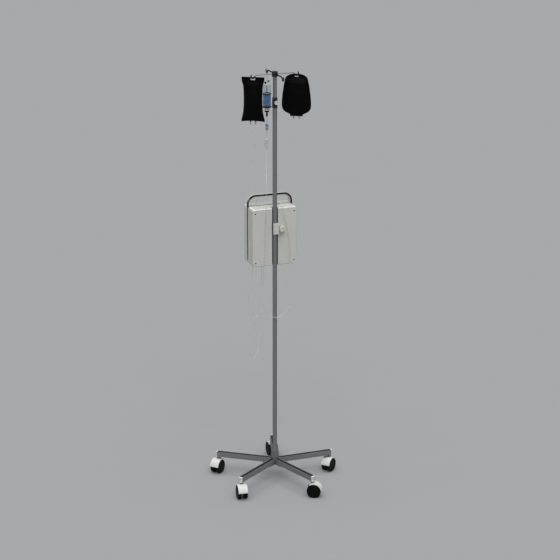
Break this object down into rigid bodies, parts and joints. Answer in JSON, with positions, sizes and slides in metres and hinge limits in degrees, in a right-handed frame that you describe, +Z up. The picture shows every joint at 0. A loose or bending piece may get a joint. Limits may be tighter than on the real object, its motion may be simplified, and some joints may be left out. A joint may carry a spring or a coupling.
{
  "type": "infusion pole with pump",
  "caption": "Rolling infusion pole with height-adjustable tube, wire hooks, two hanging bags, a burette set and a volumetric pump clamped to the pole.",
  "frame": {"origin": "on the floor, under the axis of the pole", "axes": "+Z up along the pole, -Y out of the pump's door, +X to the right of someone who faces the pump's door"},
  "size_m": [0.6306, 0.6674, 2.103],
  "materials": {
    "leg_aluminium": "brushed satin",
    "hub_casting": "satin",
    "tube_steel": "satin",
    "bright_steel": "polished",
    "white_plastic": "satin",
    "black_wheel": "satin",
    "dark_plastic": "matt",
    "case_plastic": "fine moulded texture",
    "trim_black": "matt",
    "bag_film": "soft film",
    "port_plastic": "satin",
    "clear_plastic": "clear",
    "blue_fluid": "liquid",
    "navy_plastic": "satin",
    "line_plastic": "clear, soft",
    "clamp_white": "satin",
    "rubber_pad": "matt",
    "board": "solder mask",
    "battery_wrap": "shrink wrap",
    "motor_steel": "satin",
    "gear_plastic": "satin",
    "display_glass": "glossy window",
    "key_plastic": "soft touch"
  },
  "bodies": {
    "root": {"base_hub": "hub_casting", "base_leg_1": "leg_aluminium", "base_leg_2": "leg_aluminium", "base_leg_3": "leg_aluminium", "base_leg_4": "leg_aluminium", "base_leg_5": "leg_aluminium", "leg_end_plugs": "white_plastic", "leg_bolts": "bright_steel", "pole_socket": "hub_casting", "lower_tube": "tube_steel", "height_collar": "dark_plastic", "caster_stems": "dark_plastic"},
    "caster_1": {"caster_hood_1": "white_plastic"},
    "wheels_1": {"caster_wheels_1": "black_wheel"},
    "caster_2": {"caster_hood_2": "white_plastic"},
    "wheels_2": {"caster_wheels_2": "black_wheel"},
    "caster_3": {"caster_hood_3": "white_plastic"},
    "wheels_3": {"caster_wheels_3": "black_wheel"},
    "caster_4": {"caster_hood_4": "white_plastic"},
    "wheels_4": {"caster_wheels_4": "black_wheel"},
    "caster_5": {"caster_hood_5": "white_plastic"},
    "wheels_5": {"caster_wheels_5": "black_wheel"},
    "height_knob": {"collar_knob": "bright_steel"},
    "upper_pole": {"upper_tube": "bright_steel", "hook_head": "dark_plastic", "hook_arms": "bright_steel"},
    "left_bag": {"bag_left": "bag_film", "bag_left_ports": "port_plastic"},
    "right_bag": {"bag_right": "bag_film", "bag_right_ports": "port_plastic"},
    "burette": {"burette_cap": "clear_plastic", "burette_cylinder": "clear_plastic", "burette_fluid": "blue_fluid", "burette_base": "navy_plastic", "drip_chamber": "clear_plastic", "roller_clamp": "clamp_white"},
    "clamp_roller": {"roller_wheel": "navy_plastic"},
    "pump": {"rear_case": "case_plastic", "trim_band": "trim_black", "front_case": "case_plastic", "pump_motor": "motor_steel", "circuit_board": "board", "battery_pack": "battery_wrap", "display_window": "display_glass", "door_pin": "bright_steel", "clamp_pad": "rubber_pad", "case_screws": "bright_steel", "burette_line": "line_plastic", "supply_line": "line_plastic", "patient_line": "line_plastic"},
    "pump_door": {"door": "case_plastic"},
    "latch": {"door_latch": "key_plastic"},
    "key_up": {"key_up": "key_plastic"},
    "key_down": {"key_down": "key_plastic"},
    "key_run": {"key_run": "key_plastic"},
    "rotor": {"pump_rotor": "gear_plastic", "pump_rollers": "bright_steel"},
    "pinion": {"motor_pinion": "gear_plastic"},
    "jaw": {"clamp_jaw": "case_plastic"},
    "hand_knob": {"clamp_knob": "case_plastic"}
  },
  "joints": [
    {"name": "caster_1_swivel", "type": "hinge", "parent": "root", "child": "caster_1", "pos_m": [-0.301, 0, 0.06], "axis": [0, 0, 1], "continuous": true},
    {"name": "caster_1_roll", "type": "hinge", "parent": "caster_1", "child": "wheels_1", "pos_m": [-0.29334, 0.00643, 0.035], "axis": [-0.6428, 0.766, 0], "continuous": true},
    {"name": "caster_2_swivel", "type": "hinge", "parent": "root", "child": "caster_2", "pos_m": [-0.09301, -0.28627, 0.06], "axis": [0, 0, 1], "continuous": true},
    {"name": "caster_2_roll", "type": "hinge", "parent": "caster_2", "child": "wheels_2", "pos_m": [-0.09336, -0.29626, 0.035], "axis": [0.9994, -0.0349, 0], "continuous": true},
    {"name": "caster_3_swivel", "type": "hinge", "parent": "root", "child": "caster_3", "pos_m": [0.24351, -0.17692, 0.06], "axis": [0, 0, 1], "continuous": true},
    {"name": "caster_3_roll", "type": "hinge", "parent": "caster_3", "child": "wheels_3", "pos_m": [0.25095, -0.17023, 0.035], "axis": [-0.6691, 0.7431, 0], "continuous": true},
    {"name": "caster_4_swivel", "type": "hinge", "parent": "root", "child": "caster_4", "pos_m": [0.24351, 0.17692, 0.06], "axis": [0, 0, 1], "continuous": true},
    {"name": "caster_4_roll", "type": "hinge", "parent": "caster_4", "child": "wheels_4", "pos_m": [0.24473, 0.18685, 0.035], "axis": [-0.9925, 0.1219, 0], "continuous": true},
    {"name": "caster_5_swivel", "type": "hinge", "parent": "root", "child": "caster_5", "pos_m": [-0.09301, 0.28627, 0.06], "axis": [0, 0, 1], "continuous": true},
    {"name": "caster_5_roll", "type": "hinge", "parent": "caster_5", "child": "wheels_5", "pos_m": [-0.10167, 0.29127, 0.035], "axis": [-0.5, -0.866, 0], "continuous": true},
    {"name": "height_knob_turn", "type": "hinge", "parent": "root", "child": "height_knob", "pos_m": [0, 0.02, 1.953], "axis": [0, 1, 0], "range_deg": [0, 720]},
    {"name": "pole_extend", "type": "slide", "parent": "root", "child": "upper_pole", "axis": [0, 0, 1], "range_m": [-0.1, 0.3]},
    {"name": "left_bag_swing", "type": "hinge", "parent": "upper_pole", "child": "left_bag", "pos_m": [0.1113, 0, 2.0739], "axis": [0.866, -0.5, 0], "range_deg": [-10, 10]},
    {"name": "right_bag_swing", "type": "hinge", "parent": "upper_pole", "child": "right_bag", "pos_m": [-0.1113, 0, 2.0739], "axis": [0.866, -0.5, 0], "range_deg": [-10, 10]},
    {"name": "burette_swing", "type": "hinge", "parent": "upper_pole", "child": "burette", "pos_m": [0, -0.1113, 2.0739], "axis": [0, 1, 0], "range_deg": [-12, 12]},
    {"name": "clamp_roller_slide", "type": "slide", "parent": "burette", "child": "clamp_roller", "axis": [0, 0, 1], "range_m": [-0.012, 0.012]},
    {"name": "pump_height", "type": "slide", "parent": "root", "child": "pump", "axis": [0, 0, 1], "range_m": [-0.5, 0.1], "deforming": ["burette_line", "supply_line"]},
    {"name": "jaw_open", "type": "slide", "parent": "pump", "child": "jaw", "axis": [0, 1, 0], "range_m": [0, 0.009]},
    {"name": "hand_knob_turn", "type": "hinge", "parent": "jaw", "child": "hand_knob", "pos_m": [-0.0295, 0.02, 1.322], "axis": [0, 1, 0], "range_deg": [0, 1085]},
    {"name": "door_swing", "type": "hinge", "parent": "pump", "child": "pump_door", "pos_m": [0.105, -0.136, 1.278], "axis": [0, 0, 1], "range_deg": [0, 115]},
    {"name": "latch_turn", "type": "hinge", "parent": "pump_door", "child": "latch", "pos_m": [0.02, -0.14, 1.277], "axis": [0, 1, 0], "range_deg": [-90, 0]},
    {"name": "key_up_press", "type": "slide", "parent": "pump", "child": "key_up", "axis": [0, 1, 0], "range_m": [0, 0.001]},
    {"name": "key_down_press", "type": "slide", "parent": "pump", "child": "key_down", "axis": [0, 1, 0], "range_m": [0, 0.001]},
    {"name": "key_run_press", "type": "slide", "parent": "pump", "child": "key_run", "axis": [0, 1, 0], "range_m": [0, 0.001]},
    {"name": "rotor_spin", "type": "hinge", "parent": "pump", "child": "rotor", "pos_m": [0.055, -0.1, 1.277], "axis": [0, 1, 0], "continuous": true},
    {"name": "pinion_spin", "type": "hinge", "parent": "pump", "child": "pinion", "pos_m": [0.0175, -0.09, 1.277], "axis": [0, 1, 0], "continuous": true}
  ],
  "couplings": [
    {"joint": "hand_knob_turn", "follows": "jaw_open", "rad_per_m": 2094.4},
    {"joint": "pinion_spin", "follows": "rotor_spin", "ratio": -4}
  ]
}
